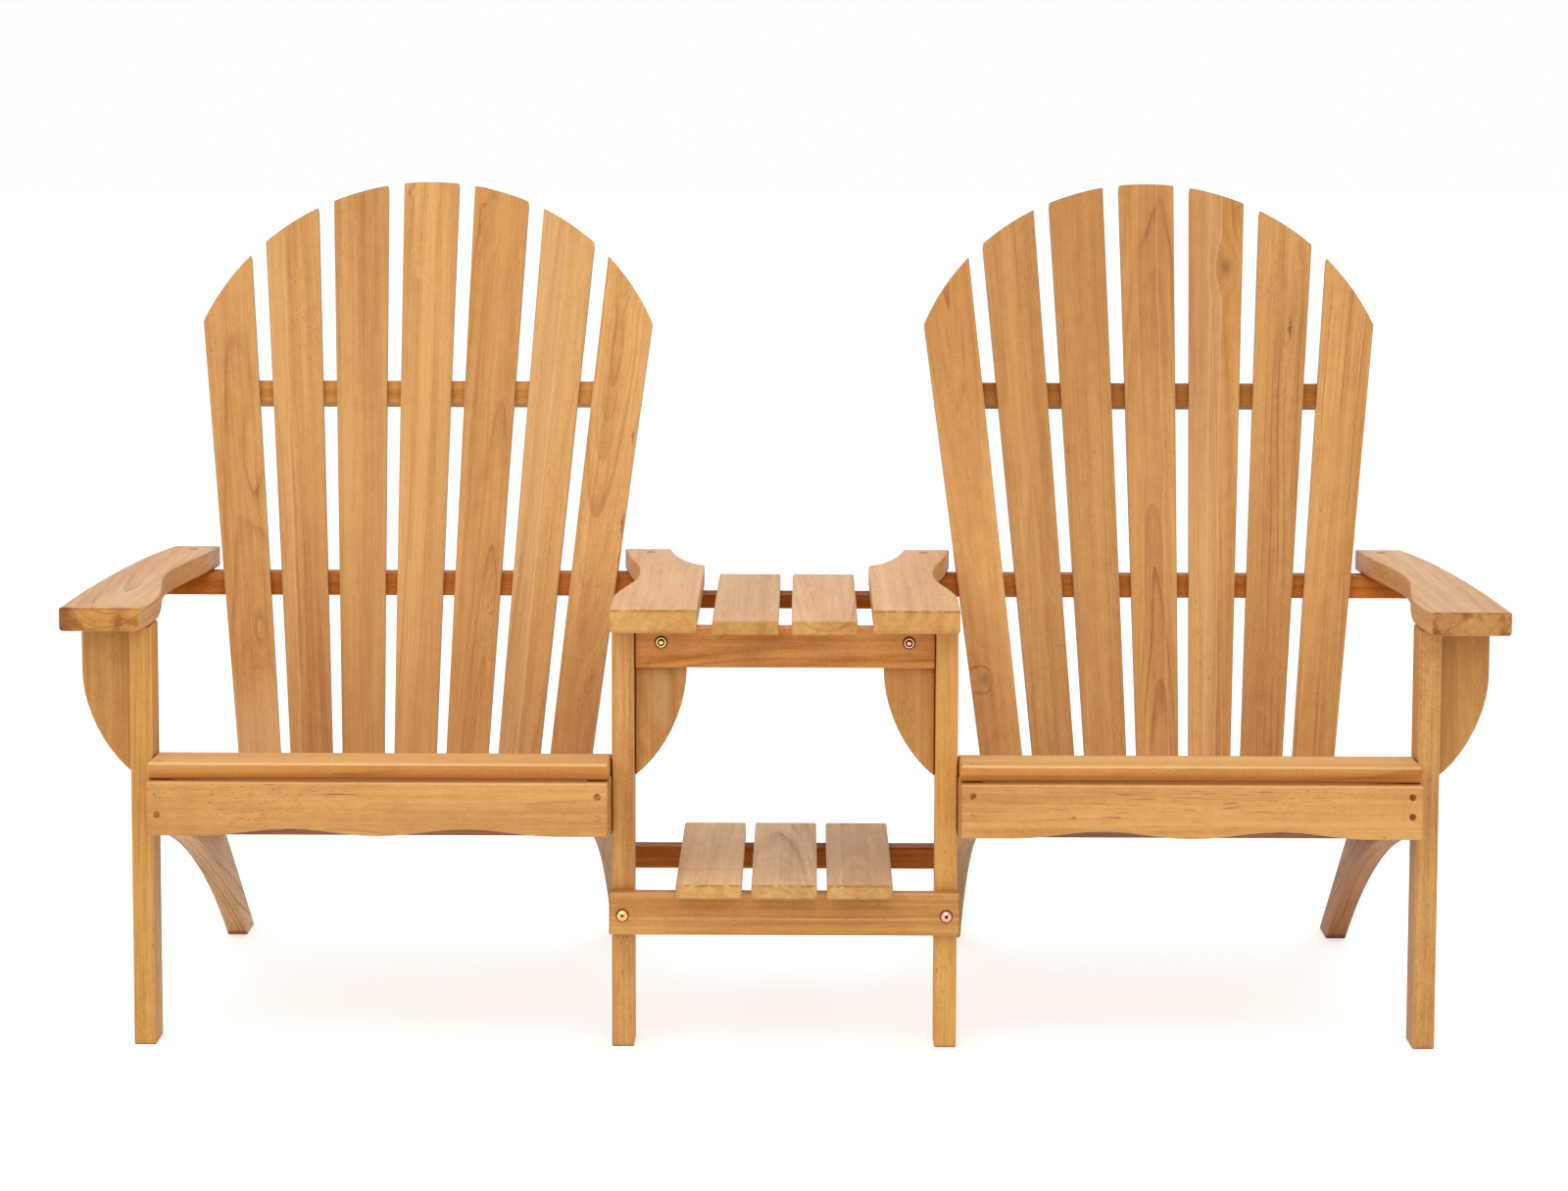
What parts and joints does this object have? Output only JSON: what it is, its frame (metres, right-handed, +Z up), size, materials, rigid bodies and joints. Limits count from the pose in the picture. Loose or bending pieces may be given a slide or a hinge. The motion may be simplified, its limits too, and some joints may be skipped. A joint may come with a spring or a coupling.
{
  "type": "double lounge chair",
  "caption": "Pair of wooden lounge chairs with fanned, arched slat backs, level arms and sloping seats, joined by a slatted table with a shelf below.",
  "frame": {"origin": "on the floor, below the centre of the overall box", "axes": "+X to the right as seen from the front, along both chairs; +Y from the front to the backs; +Z up"},
  "size_m": [1.673, 0.8484, 0.9885],
  "materials": {
    "teak_back_slats": "sanded, untreated, golden brown, matt",
    "teak_rails": "sanded, untreated, reddish brown, matt",
    "teak_legs": "sanded, untreated, golden brown, matt",
    "teak_side_rails": "sanded, untreated, greyish brown, matt",
    "teak_aprons": "sanded, untreated, yellowish brown, matt",
    "teak_seat_slats": "sanded, untreated, golden brown, matt",
    "teak_arms": "sanded, untreated, pale pinkish brown, matt",
    "teak_brackets": "sanded, untreated, orange brown, matt",
    "teak_table_slats": "sanded, untreated, pale pinkish brown, matt",
    "teak_shelf_slats": "sanded, untreated, greyish beige, matt",
    "brass": "bright, slightly worn"
  },
  "bodies": {
    "root": {"left_back_slat_1": "teak_back_slats", "left_back_slat_2": "teak_back_slats", "left_back_slat_3": "teak_back_slats", "left_back_slat_4": "teak_back_slats", "left_back_slat_5": "teak_back_slats", "left_back_slat_6": "teak_back_slats", "left_back_slat_7": "teak_back_slats", "left_lower_back_rail": "teak_rails", "left_upper_back_rail": "teak_rails", "left_arm_rail": "teak_rails", "left_front_leg_outer": "teak_legs", "left_front_leg_inner": "teak_legs", "left_side_rail_outer": "teak_side_rails", "left_side_rail_inner": "teak_side_rails", "left_front_apron": "teak_aprons", "left_seat_slat_1": "teak_seat_slats", "left_seat_slat_2": "teak_seat_slats", "left_seat_slat_3": "teak_seat_slats", "left_seat_slat_4": "teak_seat_slats", "left_arm_outer": "teak_arms", "left_arm_inner": "teak_arms", "left_arm_bracket_outer": "teak_brackets", "left_arm_bracket_inner": "teak_brackets", "right_back_slat_1": "teak_back_slats", "right_back_slat_2": "teak_back_slats", "right_back_slat_3": "teak_back_slats", "right_back_slat_4": "teak_back_slats", "right_back_slat_5": "teak_back_slats", "right_back_slat_6": "teak_back_slats", "right_back_slat_7": "teak_back_slats", "right_lower_back_rail": "teak_rails", "right_upper_back_rail": "teak_rails", "right_arm_rail": "teak_rails", "right_front_leg_outer": "teak_legs", "right_front_leg_inner": "teak_legs", "right_side_rail_outer": "teak_side_rails", "right_side_rail_inner": "teak_side_rails", "right_front_apron": "teak_aprons", "right_seat_slat_1": "teak_seat_slats", "right_seat_slat_2": "teak_seat_slats", "right_seat_slat_3": "teak_seat_slats", "right_seat_slat_4": "teak_seat_slats", "right_arm_outer": "teak_arms", "right_arm_inner": "teak_arms", "right_arm_bracket_outer": "teak_brackets", "right_arm_bracket_inner": "teak_brackets", "table_front_rail": "teak_rails", "table_rear_batten": "teak_rails", "shelf_front_rail": "teak_rails", "shelf_rear_rail": "teak_rails", "table_slat_left": "teak_table_slats", "table_slat_right": "teak_table_slats", "shelf_slat_left": "teak_shelf_slats", "shelf_slat_middle": "teak_shelf_slats", "shelf_slat_right": "teak_shelf_slats", "table_bolt_left": "brass", "table_bolt_right": "brass", "shelf_bolt_left": "brass", "shelf_bolt_right": "brass"}
  },
  "joints": []
}
